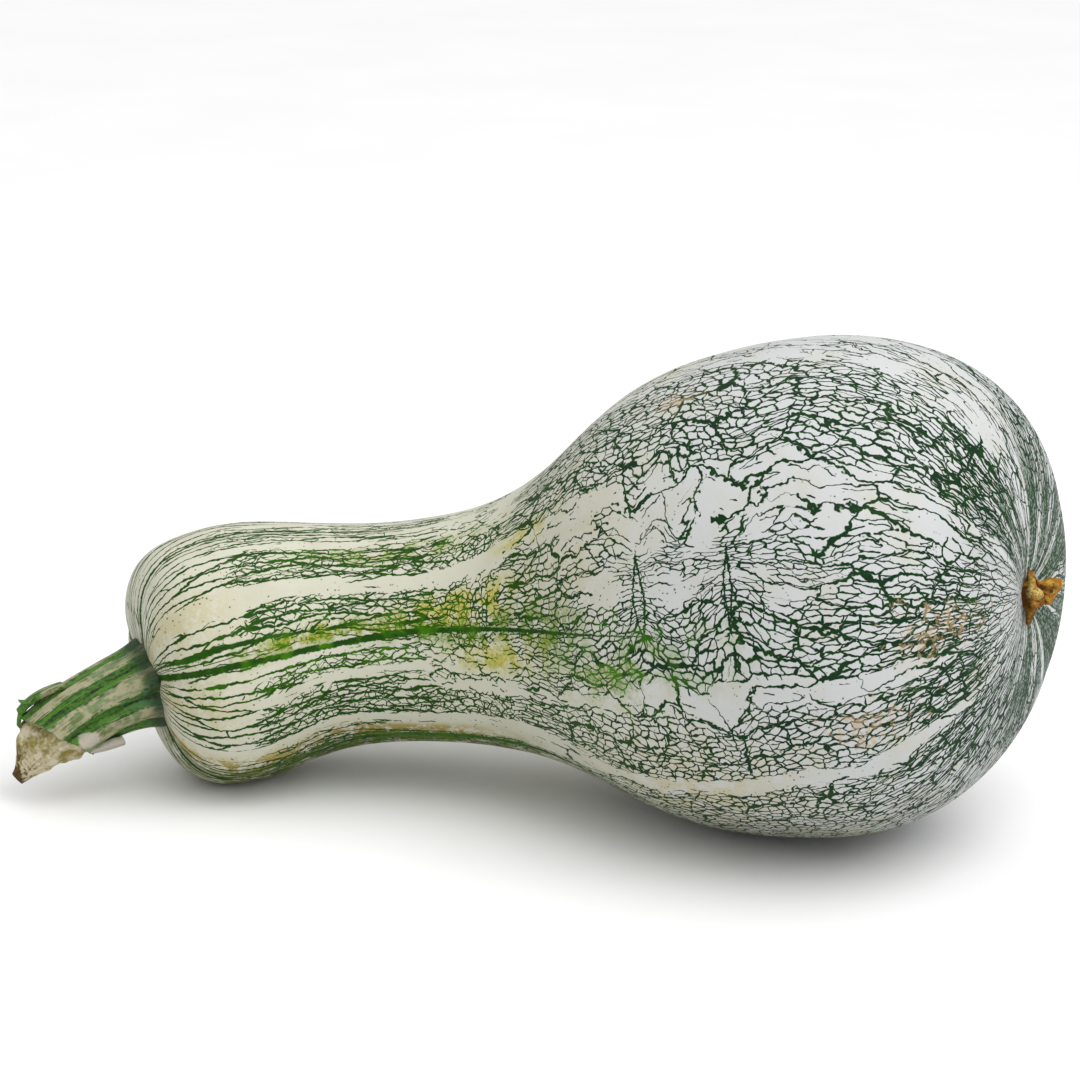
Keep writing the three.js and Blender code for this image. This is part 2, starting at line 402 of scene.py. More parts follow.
def colour(red, green, blue):
    """Linear colour of sRGB values from 0 to 255."""
    return tuple((c / 255 / 12.92 if c <= 10 else ((c / 255 + 0.055) / 1.055) ** 2.4)
                 for c in (red, green, blue)) + (1.0,)


def finish_surface(base, roughness, height, depth, gloss):
    """Ends a material, with bumps from height 0 to 1 that are a depth of millimetres deep."""
    normal = node("ShaderNodeBump", {"Height": height, "Distance": depth * MM, "Strength": 1.0})
    shader = node("ShaderNodeBsdfPrincipled", {"Base Color": base, "Roughness": roughness, "Normal": normal,
                                               "Specular IOR Level": gloss})
    end = Canvas.tree.nodes.new("ShaderNodeOutputMaterial")
    Canvas.tree.links.new(shader.socket, end.inputs["Surface"])


# ---- Rind: its pattern, by the place on the fruit ----

# How the net is stretched along the fruit: [distance, length of net per length of fruit]. Its cells are long
# on the neck and towards both ends.
FLOW = [(0, .2), (40, .15), (120, .17), (165, .28), (200, .44), (240, .54), (300, .6), (350, .45), (380, .33),
        (397, .3)]

# Density of the net round the fruit: [angle, density], for the neck, for the shoulder and for the bowl.
NECK_BANDS = [
    (-180, .5), (-165, .8), (-152, .2), (-140, .75), (-128, .9), (-120, .1), (-112, .1), (-104, .85),
    (-90, .3), (-78, .7), (-66, .4), (-56, .9), (-47, .95), (-42, .8), (-37, .4), (-34, .8), (-31, .25),
    (-28, .15), (-25, .95), (-18, .75), (-12, .9), (-6, .8), (-4, .15), (-1, .25), (1, .95), (9, .65),
    (12, .2), (15, .4), (21, .55), (25, .8), (27, .5), (30, .85), (35, .7), (38, .75), (40, .12), (47, .06),
    (50, .9), (54, .6), (56, .85), (67, .8), (71, .25), (74, .6), (82, .5), (90, .7), (97, .2), (108, .8),
    (120, .85), (128, .2), (140, .7), (152, .8), (160, .15), (170, .6), (180, .5)]
SHOULDER_BANDS = [
    (-180, .6), (-168, .85), (-155, .2), (-143, .8), (-128, .9), (-120, .1), (-112, .1), (-104, .85),
    (-92, .25), (-80, .8), (-66, .35), (-52, .95), (-45, .95), (-43, .12), (-36, .1), (-34, .45), (-32, .1),
    (-28, .15), (-26, .9), (-14, .95), (-11, .4), (-7, .7), (-3, .5), (8, .7), (13, .85), (26, .9),
    (38, .8), (41, .3), (46, .25), (49, .9), (58, .95), (60, .65), (74, .6), (80, .4), (90, .7), (98, .3),
    (108, .85), (122, .9), (130, .2), (142, .8), (154, .85), (162, .2), (172, .7), (180, .6)]
BOWL_BANDS = [
    (-180, .7), (-168, .9), (-156, .25), (-146, .85), (-128, .9), (-120, .1), (-112, .1), (-106, .85),
    (-92, .9), (-84, .4), (-74, .65), (-66, .6), (-57, .7), (-54, .95), (-38, .95), (-36, .2), (-32, .2),
    (-30, .95), (-20, .9), (-15, .9), (-12, .45), (-8, .25), (-5, .8), (0, .9), (12, .8), (16, .55),
    (24, .52), (30, .42), (36, .38), (45, .32), (48, .95), (60, .95), (74, .85), (78, .4), (90, .45),
    (98, .25), (106, .85), (124, .9), (132, .25), (144, .85), (156, .9), (164, .25), (174, .8), (180, .7)]
NECK_ENDS, BOWL_BEGINS = (90, 160), (180, 250)

# Places where the net is denser, or sparser, than its band: [distance, reach, angle, reach, density added].
CLUSTERS = [(292, 17, 16, 9, -.5), (334, 22, 12, 6, -.5), (303, 7, 35, 9, -.5), (252, 16, 20, 6, -.5),
            (291, 9, 32, 9, .45), (315, 9, 33, 9, .6), (334, 26, 26, 7, .55), (262, 20, 31, 6, .3),
            (372, 22, 12, 12, .35), (316, 34, 7, 8, .3)]

# The net is drawn flat and cut open at this angle, in a pale band.
NET_SEAM = -116
NET_SWAY = [(40, 3.0)]  # slow wander of its lines, in millimetres and degrees


class Net(typing.NamedTuple):
    """A net of veins, laid out on a drum of a radius, with the width of its cells and of half a line."""
    drum: float
    cell: float
    half_line: float
    wander: float
    jitter: float
    crowding: float  # how much closer its cells lie along the fruit than round it
    shy_links: float  # how much rarer lines round the fruit are than lines along it
    gain: float  # how much the density of the bands counts
    bias: float  # how much it shows everywhere
    begins: float
    ends: float
    tightest: float  # the smallest radius of the fruit that its cells still have room on


NETS = [
    Net(62, 4.8, 0.66, 3.0, 2.4, 0.9, 0.8, 1.1, 0.1, -60, 150, 0),
    Net(62, 4.0, 0.48, 2.6, 2.4, 3.0, 0.3, 1.0, -0.05, 30, 190, 20),
    Net(62, 2.6, 0.38, 2.4, 1.8, 3.4, 0.1, 1.0, -0.26, 25, 190, 20),
    Net(102, 2.9, 0.41, 5.0, 2.0, 1.0, 0.2, 1.15, 0.0, 176, 500, 44),
    Net(102, 11, 0.56, 12.0, 3.6, 1.0, 0.1, 0.6, 0.3, 180, 500, 0),
    Net(30, 2.3, 0.46, 1.5, 1.2, 1.0, 0.1, 1.0, 0.3, 374, 500, 0),
]
NET_FADE = 20
TIGHT_FADE = 20
NET_LOSS = 1.5  # how much less of a net shows outside its part of the fruit
ROOMY_RADIUS = 60  # lines grow thinner where the fruit is slimmer than this

# Knots in the net, where its lines are drawn round the fruit and run together:
# [distance, reach, turn of the pattern at each angle].
KNOTS = [
    (313, 9, [(-14, 0), (-4, -1.5), (4, -6), (9, -8), (16, -6), (22, 2), (27, 9), (36, 7), (60, 2), (75, 0)]),
    (271, 6, [(-12, 0), (0, -3), (5, -5), (10, -5), (18, 0), (26, 6), (36, 5), (50, 0)]),
    (291, 5, [(14, 0), (22, 1), (27, 7), (36, 5), (50, 0)]),
    (302, 6, [(-32, 0), (-24, 1.5), (-16, 4), (-11, 2), (-8, 0)]),
    (350, 6, [(14, 0), (22, 3), (30, 1), (36, 0)]),
    (255, 8, [(-170, 0), (-150, 5), (-138, -6), (-128, 0)]),
    (330, 8, [(128, 0), (140, 5), (156, -6), (170, 0)]),
]
# Pairs of lines round the fruit that join the knots: [distance, lowest angle, highest angle, half their gap].
TRUNKS = [(313, 5, 25, 1.5), (271, 4, 26, 2.8), (330, 141, 155, 1.2), (255, -149, -139, 1.2)]
TRUNK_HALF_LINE = 0.5
TRUNK_TAPER = 1  # half the degrees over which its ends run out

# A furrow or trunk line loses its width over these millimetres off it, so that none shows where the nearest
# one changes. FAR is farther off than anything on the fruit.
LINE_REACH = (5, 10)
FAR = 2000

# Furrow lines: [path as (distance, angle), half width in millimetres as (distance, width)].
FURROWS = [
    ([(0, 17), (60, 13.5), (90, 13.5), (140, 17), (170, 15), (200, 12), (240, 9), (300, 5), (397, 2)],
     [(0, 1.5), (110, 1.3), (165, 1.1), (200, .8), (250, .4), (300, 0)]),
    ([(0, 27), (10, 24), (25, 24.5), (45, 23.5), (60, 24)], [(0, .4), (12, 1.4), (40, 1.1), (60, 0)]),
    ([(0, -60), (60, -53), (120, -50), (180, -47), (240, -50)], [(0, .8), (60, 1.6), (180, 1.4), (240, 0)]),
    ([(0, 88), (100, 86), (200, 84)], [(0, .6), (120, .5), (180, 0)]),
    ([(0, 160), (90, 157), (240, 159)], [(0, 1.2), (120, 1.2), (230, 0)]),
    ([(0, -130), (90, -133), (240, -131)], [(0, 1.2), (120, 1.1), (230, 0)]),
]

LEAF, LIME, OLIVE_STAIN_AND_SHADE = colour(112, 138, 52), colour(144, 152, 56), colour(104, 106, 42)
MUSTARD, BROWN = colour(184, 178, 92), colour(138, 112, 50)
STRAW, SAND = colour(180, 166, 104), colour(184, 176, 138)
# Stains in the ground colour, where the olive ones on the underside are partly a real stain and partly
# painted shade: [colour, distance, reach, angle, reach, strength].
STAINS_AND_SHADE = [
    (LIME, 80, 80, 20, 9, 1.3), (LEAF, 150, 60, 15, 8, 1.0), (MUSTARD, 160, 56, 27, 13, 1.6),
    (MUSTARD, 180, 42, 4, 12, 1.4), (MUSTARD, 196, 28, 46, 6, 1.2), (LEAF, 206, 44, 13, 12, 1.2),
    (LEAF, 280, 62, -1, 9, .5), (LIME, 240, 44, -2, 14, .5), (BROWN, 60, 110, -41, 8, 1.4),
    (STRAW, 130, 60, -40, 8, .8), (LIME, 120, 70, 62, 9, .9), (STRAW, 8, 50, 42, 26, .5),
    (STRAW, 6, 40, 0, 26, .5), (LIME, 110, 60, 150, 9, .7), (LEAF, 260, 50, -142, 7, .8),
    # Olive on the underside: partly a real stain, partly painted shade.
    (STRAW, 170, 40, -126, 9, .7), (OLIVE_STAIN_AND_SHADE, 90, 150, -58, 26, 1.8), (OLIVE_STAIN_AND_SHADE, 90, 130, -90, 24, .6),
    (OLIVE_STAIN_AND_SHADE, 300, 110, -70, 26, .55), (SAND, 270, 90, -36, 34, .7), (SAND, 235, 60, 30, 30, .4),
    (STRAW, 40, 90, -38, 12, .8),
]
# Where the veins are a brighter green: [distance, reach, angle, reach].
BRIGHT = [(100, 170, 14, 26), (120, 80, 64, 14), (250, 70, 0, 20), (120, 120, -55, 20), (200, 60, -142, 14),
          (120, 90, 150, 14)]
# Patches of cork: [distance, reach, angle, reach].
SCUFFS = [(384, 26, 2, 24), (360, 40, -22, 16), (280, 24, 66, 10), (340, 40, -160, 20)]
# Streaks run together at the scar: radii where they begin and are full, distances over which they come in,
# and the angle where they are palest, with the degrees off it over which they grow bold.
STREAKS_FROM, STREAKS_FULL = 72, 38
STREAKS_ALONG = (200, 300)
STREAKS_PALEST, STREAKS_TURN = -5, (30, 90)
STREAKS_LEAST = 0.1


def turn_from(middle, angle):
    """How far an angle lies from another, -180 to 180 degrees."""
    return (angle - middle + 180) % 360 - 180


def patch(distance, angle, centre, reach, middle, spread):
    """1 at a distance and an angle, down to 0 a reach and a spread away."""
    along = 1 - smoothstep(np.abs(distance - centre), 0, reach)
    return along * (1 - smoothstep(np.abs(turn_from(middle, angle)), 0, spread))


def read_off(points, value):
    """Value read off a line through (input, output) points."""
    return np.interp(value, *zip(*points))


def knotted(distance, angle):
    """The angle that the net is taken from, which the knots turn."""
    plain = turn_from(0, angle)
    return angle + sum(np.exp(1 - np.hypot(1, (distance - centre) / reach)) * read_off(turns, plain)
                       for centre, reach, turns in KNOTS)


def band_density(distance, angle):
    """How dense the net is, from the three lists of bands and the clusters."""
    neck, shoulder, bowl = (read_off(bands, turn_from(0, angle))
                            for bands in (NECK_BANDS, SHOULDER_BANDS, BOWL_BANDS))
    density = neck + (shoulder - neck) * smoothstep(distance, *NECK_ENDS)
    density = density + (bowl - density) * smoothstep(distance, *BOWL_BEGINS)
    return density + sum(patch(distance, angle, *where) * added for *where, added in CLUSTERS)


def net_amount(net, density, distance, radius):
    """How much of a net shows, before chance has its part."""
    outside = 1 - smoothstep(distance, net.begins - NET_FADE, net.begins + NET_FADE)
    outside = outside + smoothstep(distance, net.ends - NET_FADE, net.ends + NET_FADE)
    outside = outside + 1 - smoothstep(radius, net.tightest - TIGHT_FADE, net.tightest)
    return density * net.gain + net.bias - outside * NET_LOSS


def nearest(offsets, *values):
    """Of a list of things, the offset from the nearest and the values that go with it."""
    closest = np.argmin(np.abs(offsets), axis=0)[None]
    return [np.take_along_axis(np.array(each), closest, axis=0)[0] for each in (offsets, *values)]


def furrow_offset(distance, angle, radius):
    """Millimetres from the nearest furrow line, and half its width."""
    middles, widths = ([read_off(line[i], distance) + 0 * angle for line in FURROWS] for i in (0, 1))
    offset, width = nearest([turn_from(middle, angle) * np.radians(radius) for middle in middles], widths)
    return offset, width * (1 - smoothstep(np.abs(offset), *LINE_REACH))


def trunk_offset(distance, angle):
    """Millimetres from the middle of the nearest trunk, half the gap between its lines, half their width."""
    offsets, gaps, widths = [], [], []
    for centre, low, high, gap in TRUNKS:
        middle, reach = (low + high) / 2, (high - low) / 2
        past = np.abs(turn_from(middle, angle))
        offsets.append(np.where(past < 2 * reach, distance - centre, FAR))
        gaps.append(gap * (1 - smoothstep(past, 0, reach)) + 0 * distance)
        near = 1 - smoothstep(np.abs(distance - centre), *LINE_REACH)
        ended = smoothstep(past, reach - TRUNK_TAPER, reach + TRUNK_TAPER)
        widths.append(TRUNK_HALF_LINE * near * (1 - ended))
    return nearest(offsets, gaps, widths)


def stain_and_shade_at(distance, angle):
    """Colour of the stains, partly painted shade on the underside, and how strong they are."""
    weights = np.array([patch(distance, angle, *where) * strength for _, *where, strength in STAINS_AND_SHADE])
    tints = np.array([tint[:3] for tint, *_ in STAINS_AND_SHADE])
    total = weights.sum(axis=0)
    return np.einsum("kij,kc->ijc", weights, tints) / np.maximum(total, 1e-6)[..., None], np.minimum(total, 1)


def strongest(patches, distance, angle):
    return functools.reduce(np.maximum, (patch(distance, angle, *where) for where in patches))


def streaks(distance, angle, radius):
    """How strong the streaks round the blossom scar are."""
    near_scar = (1 - smoothstep(radius, STREAKS_FULL, STREAKS_FROM)) * smoothstep(distance, *STREAKS_ALONG)
    facing_away = smoothstep(np.abs(turn_from(STREAKS_PALEST, angle)), *STREAKS_TURN)
    return near_scar * (STREAKS_LEAST + (1 - STREAKS_LEAST) * facing_away)


def pattern(distance, angle, radius, length, places):
    """What the rind's material needs to know about each point of the skin."""
    turned = knotted(distance, angle) + rough(places, NET_SWAY)
    density = band_density(distance, turned)
    amounts = [net_amount(net, density, distance, radius) for net in NETS]
    tint, stain_and_shade = stain_and_shade_at(distance, turned)
    return {
        "place": stacked(np.radians(turned), length, distance),
        "scale": stacked(radius, np.minimum(radius / ROOMY_RADIUS, 1), read_off(FLOW, distance)),
        "first_nets": stacked(*amounts[:3]),
        "last_nets": stacked(*amounts[3:]),
        "furrow": stacked(*furrow_offset(distance, angle, radius), strongest(SCUFFS, distance, angle)),
        "trunk": stacked(*trunk_offset(distance, angle)),
        "tint": tint,
        "marks": stacked(stain_and_shade, strongest(BRIGHT, distance, angle), streaks(distance, angle, radius)),
    }


# ---- Rind: its material ----

CREAM, CHALK, SHELL = colour(198, 197, 180), colour(192, 194, 194), colour(184, 181, 158)
VEIN_NECK, VEIN_BOWL, VEIN_BRIGHT = colour(28, 66, 8), colour(14, 46, 22), colour(60, 112, 6)
CORK_STAIN, STREAK = colour(178, 152, 116), colour(36, 68, 40)

# Sizes of the noise in the rind, from broad patches of shade down to the crumbs that roughen a line.
SHADE_SIZE, BEND_SIZE, MOTTLE_SIZE = 22 * MM, 13 * MM, 8 * MM
CORK_SIZE, SHAKE_SIZE, PORE_SIZE, CRUMB_SIZE = 3.2 * MM, 2.6 * MM, 2.5 * MM, 1.4 * MM
SPECK_SPACING, SPECK_RADIUS = 2.6 * MM, 0.8

# Distances over which the neck's colours turn into the bowl's.
GROUND_TURNS, VEINS_TURN = (160, 320), (160, 300)

# Chance counts this much in a net, and varies over this many cells.
CHANCE_WEIGHT, CHANCE_CELLS = 1.8, 3.0

# A line is drawn where the net's amount has risen over a threshold. Its width grows with the amount and
# towards the corners of the cells, and dies out between two cells whose middles nearly meet.
DRAWN_OVER = (0.41, 0.46)
WIDTH_BY_AMOUNT, WIDTH_BY_CORNER, WIDTH_BY_GAP = (0.4, 1.2, 0.8, 1.15), (0.3, 0.85, 0.8, 1.5), (0.2, 0.6)
CRUMBLE = 0.34  # how far crumbs roughen a line's edges
LINE_EDGE, FURROW_EDGE = 0.15, 0.3  # softness of their edges
THINNEST = 0.12  # a line with less than this half width fades away


def new_grain():
    """The place on the skin and the noise that the marks share."""
    skin = node("ShaderNodeTexCoord", {}, output=3)
    crumbs = clouds(skin, CRUMB_SIZE, 1.0) - 0.5
    bend, shake = drift(skin, BEND_SIZE, 1.0), drift(skin, SHAKE_SIZE, 1.0)
    bent_skin = vector_maths("MULTIPLY_ADD", bend, 3 * (MOTTLE_SIZE,), skin)
    mottle = clouds(bent_skin, MOTTLE_SIZE, 3.0)
    return types.SimpleNamespace(skin=skin, crumbs=crumbs, bend=bend, shake=shake, mottle=mottle)


def border(where, cell, narrow, stretch):
    """The nearest border between cells of a flat net: how far off it is in millimetres, the point midway
    between its two cells, how far it runs round the fruit, 0 to 1, and how far off the middle of the cell and
    how far apart the middles of the two cells are, in cells. Narrow and stretch are the lengths of net per
    length of rind, round the fruit and along it."""
    layout = {"Vector": where, "Scale": 1 / cell}
    first, second = (node("ShaderNodeTexVoronoi", layout, output=2, voronoi_dimensions="2D", feature=feature)
                     for feature in ("F1", "F2"))
    apart = vector_maths("SUBTRACT", second, first)
    middle = vector_maths("MULTIPLY", vector_maths("ADD", first, second), (0.5, 0.5, 0.5))
    slope = vector_maths("MULTIPLY", apart, combined(narrow, stretch, 0.0))
    steepness = vector_maths("LENGTH", slope, output=1)
    from_middle = vector_maths("SUBTRACT", where, middle)
    off = maths("ABSOLUTE", vector_maths("DOT_PRODUCT", from_middle, apart, output=1)) / steepness
    across = maths("ABSOLUTE", separated(slope)[1]) / steepness
    corner = vector_maths("DISTANCE", where, first, output=1) / cell
    gap = vector_maths("LENGTH", apart, output=1) / cell
    return off, middle, across, corner, gap


def line(off, half_width, softness):
    """1 within half a width of a line, 0 outside, and nothing where the width is 0."""
    return fade(off, half_width + softness, half_width - softness) * fade(half_width, 0.0, THINNEST)


def net_lines(net, amount, place, scale, grain):
    """The lines of one net. Chance draws each border between two cells whole or leaves it out."""
    turn, length, _ = place
    radius, room, stretch = scale
    moved = vector_maths("MULTIPLY_ADD", grain.bend, (net.wander, net.wander, 0.0),
                         vector_maths("MULTIPLY", grain.shake, (net.jitter, net.jitter, 0.0)))
    moved_x, moved_y, _ = separated(moved)
    where = combined(turn * net.drum + moved_x, (length + moved_y * stretch) * net.crowding, 0.0)
    off, middle, across, corner, gap = border(where, net.cell, net.drum / radius, stretch * net.crowding)
    chance = clouds(middle, net.cell * CHANCE_CELLS, 2.0, 0.75, noise_dimensions="2D") - 0.5
    amount = amount + chance * CHANCE_WEIGHT - across * net.shy_links
    width = fade(amount, *WIDTH_BY_AMOUNT) * fade(corner, *WIDTH_BY_CORNER) * net.half_line
    width = width * fade(gap, *WIDTH_BY_GAP)
    return line(off, (width * room + grain.crumbs * CRUMBLE) * fade(amount, *DRAWN_OVER), LINE_EDGE)


def furrow_and_trunk_lines(furrow, trunk, grain):
    furrow_off, furrow_width, _ = furrow
    trunk_off, trunk_gap, trunk_width = trunk
    waver = grain.crumbs * 1.4 + (grain.mottle - 0.5)
    off_pair = maths("ABSOLUTE", maths("ABSOLUTE", trunk_off + waver * 1.5) - trunk_gap)
    return [line(maths("ABSOLUTE", furrow_off + waver), furrow_width, FURROW_EDGE),
            line(off_pair, trunk_width, LINE_EDGE)]


def loose_green(grain, stain_and_shade, bright):
    """Specks all over, and crumbs of green in the stains and in their painted shade."""
    dots = specks(grain.skin, SPECK_SPACING, (grain.crumbs + 0.5) * SPECK_RADIUS * MM)
    return [dots * fade(grain.mottle, 0.42, 0.56) * 0.8,
            fade(grain.crumbs + grain.mottle, 0.58, 0.64) * bright * stain_and_shade * 0.8]


def ground(place, stain_and_shade, streaked, grain):
    """The rind between its veins: cream on the neck and chalky on the bowl, with stains that are partly
    painted shade on the underside, streaked at the scar.
    """
    turn, length, distance = place
    base = mixed(fade(distance, *GROUND_TURNS), CREAM, CHALK)
    base = mixed(fade(clouds(grain.skin, SHADE_SIZE, 3.0), 0.45, 0.75) * 0.45, base, SHELL)
    tint = node("ShaderNodeAttribute", {}, attribute_name="tint")
    # Stains, with painted shade in the olive ones on the underside.
    base = mixed(stain_and_shade * fade(grain.mottle + grain.crumbs * 0.4, 0.32, 0.56), base, tint)
    stripes = clouds(combined(turn * 18.0, length * 0.1, 0.0), 4.2, 2.0, noise_dimensions="2D")
    lace = fade(grain.crumbs, -0.12, 0.06, 0.6, 1.0)
    return mixed(fade(stripes, 0.43, 0.5) * streaked * lace, base, STREAK)


def vein_green(distance, bright, mottle):
    """Colour of the veins, which some places have brighter."""
    green = mixed(fade(distance, *VEINS_TURN), VEIN_NECK, VEIN_BOWL)
    return mixed((bright * 0.9 + 0.1) * fade(mottle, 0.42, 0.65), green, VEIN_BRIGHT)


def rind():
    """Pale rind with a net of green veins, with stains along the furrows that are partly painted shade on the
    underside, with cork near the blossom scar.
    """
    material = new_material("rind")
    place, scale, furrow, trunk = (stored(name) for name in ("place", "scale", "furrow", "trunk"))
    amounts = stored("first_nets") + stored("last_nets")
    stain_and_shade, bright, streaked = stored("marks")
    grain = new_grain()

    lines = [net_lines(net, amount, place, scale, grain) for net, amount in zip(NETS, amounts)]
    lines += furrow_and_trunk_lines(furrow, trunk, grain)
    lines += loose_green(grain, stain_and_shade, bright)
    vein = any_of(lines)
    green = vein_green(place[2], bright, grain.mottle)
    base = mixed(vein, ground(place, stain_and_shade, streaked, grain), green)

    scuffed = furrow[2]
    cork = fade(clouds(grain.skin, CORK_SIZE, 5.0, 0.7) + scuffed * 0.22, 0.67, 0.78)
    base = mixed(cork * 0.55, base, CORK_STAIN)
    pores = clouds(grain.skin, PORE_SIZE, 4.0, 0.6)
    finish_surface(base, 0.46 + vein * 0.08 + cork * 0.25, pores, 0.18, gloss=0.08)
    return material


# ---- Bark of the stem, and cork ----

TAN, SAGE, PEELED = colour(158, 153, 122), colour(108, 128, 86), colour(182, 173, 160)
GRASS, MOSS, SHADE_AND_FIBRE_GREEN, BLUISH = colour(72, 118, 32), colour(40, 80, 16), colour(18, 36, 8), colour(66, 108, 80)
OLIVE = colour(92, 100, 40)
CORE_PALE, CORE_OLIVE, CORE_BROWN = colour(206, 196, 168), colour(136, 124, 58), colour(84, 62, 20)
GOLD, AMBER, UMBER_SHADE = colour(190, 154, 62), colour(150, 98, 30), colour(74, 44, 10)
STRAW_CORK = colour(208, 194, 124)

BARK_DRUM = 15.0  # radius that the stem's noise is laid round
# Distances from the stem's start over which it turns bluish towards the fruit, and darkens with painted shade
# in its seat.
NEAR_FRUIT, SEAT_SHADE = (28, 12), (18, 13)


def bark():
    """The stem: mottled ridges with green grooves between them, painted shade in the bottoms of the grooves
    and in its seat, a pale core with a brown tip, torn strips.
    """
    material = new_material("bark")
    skin = node("ShaderNodeTexCoord", {}, output=3)
    distance, angle, groove = stored("place")
    core, tint, past = stored("part")
    fibres = clouds(on_drum(BARK_DRUM, angle, distance * 0.1), 0.9, 3.0, 0.6) - 0.5
    swathes = clouds(on_drum(BARK_DRUM, angle, distance * 0.3), 4, 3.0) - 0.5
    patches = clouds(skin, 6 * MM, 3.0) - 0.5
    fine = clouds(skin, 1.4 * MM, 3.0) - 0.5
    at_fruit = fade(distance, *NEAR_FRUIT)

    crest = mixed(fade(patches + swathes + fine * 0.4, -0.14, 0.14), TAN, SAGE)
    crest = mixed(fade(fibres + patches * 0.6, 0.0, 0.14) * 0.75, crest, OLIVE)
    green = mixed(fade(fibres + fine * 0.5, -0.08, 0.14), GRASS, MOSS)
    green = mixed(at_fruit * fade(patches, -0.08, 0.1) * 0.8, green, BLUISH)
    outer = mixed(fade(groove + fibres * 0.8 + swathes * 0.9 + at_fruit * 0.2, 0.2, 0.42), crest, green)
    # Painted shade: dark green in the bottoms of the grooves.
    outer = mixed(fade(groove + fibres * 0.4 + fine * 0.2, 0.88, 1.05), outer, SHADE_AND_FIBRE_GREEN)
    # Painted shade where the stem sits in the fruit.
    outer = mixed(fade(distance + fibres * 8.0, *SEAT_SHADE) * 0.7, outer, SHADE_AND_FIBRE_GREEN)
    beside_groove = hump(groove + swathes * 0.5, 0.2, 0.1)
    outer = mixed(beside_groove * fade(fibres + fine, -0.04, 0.06) * 0.8, outer, SHADE_AND_FIBRE_GREEN)
    outer = mixed(fade(tint + fine * 0.6, 0.4, 0.6) * 0.9, outer, PEELED)

    wood = mixed(fade(patches * 1.5 + fine * 0.7 + swathes * 0.5, -0.3, 0.2), CORE_PALE, CORE_OLIVE)
    wood = mixed(fade(past + fine * 1.2 + patches, 0.62, 0.95), wood, CORE_BROWN)
    base = mixed(core, outer, wood)
    height = fibres + fine * 0.8 + patches + 0.5
    finish_surface(base, 0.5 + fine * 0.3, height, 0.6, gloss=0.3)
    return material


def cork():
    """The blossom scar: golden cork, with painted shade at its foot, on its underside and in its hollows, and
    pale on its dome.
    """
    material = new_material("cork")
    skin = node("ShaderNodeTexCoord", {}, output=3)
    height, angle, dent = stored("place")
    tone = clouds(skin, 2.5 * MM, 4.0, 0.65) - 0.5
    fine = clouds(skin, 0.6 * MM, 3.0) - 0.5
    base = mixed(fade(tone, -0.1, 0.1), AMBER, GOLD)
    # Painted shade in the cork: umber in its hollows, at the foot of the knob and on its underside.
    base = mixed(fade(dent + tone * 1.8, 0.2, 0.6), base, UMBER_SHADE)
    base = mixed(fade(height + tone * 8.0, 5.5, 2.0) * 0.6, base, UMBER_SHADE)
    base = mixed(hump(angle, -75, 60) * fade(tone + fine, -0.2, 0.1) * 0.9, base, UMBER_SHADE)
    pale = hump(angle, 30, 50) * fade(height, 2.0, 5.0)
    base = mixed(pale * fade(tone + fine, -0.14, 0.1) * 0.9, base, STRAW_CORK)
    finish_surface(base, 0.75 + fine * 0.3, tone + fine * 0.6 + 0.5, 0.6, gloss=0.15)
    return material


def studio_floor():
    """Pale matt paper with a fine tooth."""
    material = new_material("paper")
    where = node("ShaderNodeTexCoord", {}, output=3)
    tooth = clouds(where, 0.8 * MM, 2.0)
    base = mixed(fade(clouds(where, 0.15, 2.0), 0.3, 0.7), colour(243, 243, 243), colour(245, 245, 245))
    finish_surface(base, 0.9 + tooth * 0.05, tooth, 0.02, gloss=0.0)
    return material


# ---- Fruit ----

fruit_line = Spine(open_spline(FRUIT_LINE, np.linspace(0, 1, LINE_SAMPLES)))


def rounded_off(distance, length, squareness):
    """Share of the full radius at a distance in from the tip of a rounded end."""
    share = np.minimum(distance / length, 1)
    return (1 - (1 - share) ** squareness) ** (1 / squareness)


def outline(t):
    """Distance along the fruit and plain radius at t. Its points are closest together at both ends."""
    distance = FRUIT_LENGTH / 2 * (1 - np.cos(np.pi * t))
    neck = NECK_SWELLING * np.exp(-((distance - NECK_AT) / NECK_SPREAD) ** 2)
    bowl = BOWL_SWELLING / 2 * (1 + np.tanh((distance - SHOULDER_AT) / SHOULDER_SPREAD))
    ends = rounded_off(distance, *STEM_END) * rounded_off(FRUIT_LENGTH - distance, *BLOSSOM_END)
    return np.stack([distance, (WAIST_RADIUS + neck + bowl) * ends])


def skin_depth(t, distance, radius, angle):
    """How far the skin lies inside its plain outline: the furrows, and the dip at each end."""
    furrow = (1 - np.abs(np.sin(np.radians(angle - FIRST_FURROW) * LOBES / 2))) ** 2
    at_stem = 1 - smoothstep(distance, 0, FURROW_FADE)
    depth = FURROW_ON_BOWL + (FURROW_AT_STEM - FURROW_ON_BOWL) * at_stem
    dip, reach = (np.where(t > 0.5, *each) for each in zip(BLOSSOM_DIP, STEM_DIP))
    return furrow * np.minimum(1, radius / reach) * depth + dip * np.exp(-(radius / reach) ** 2)


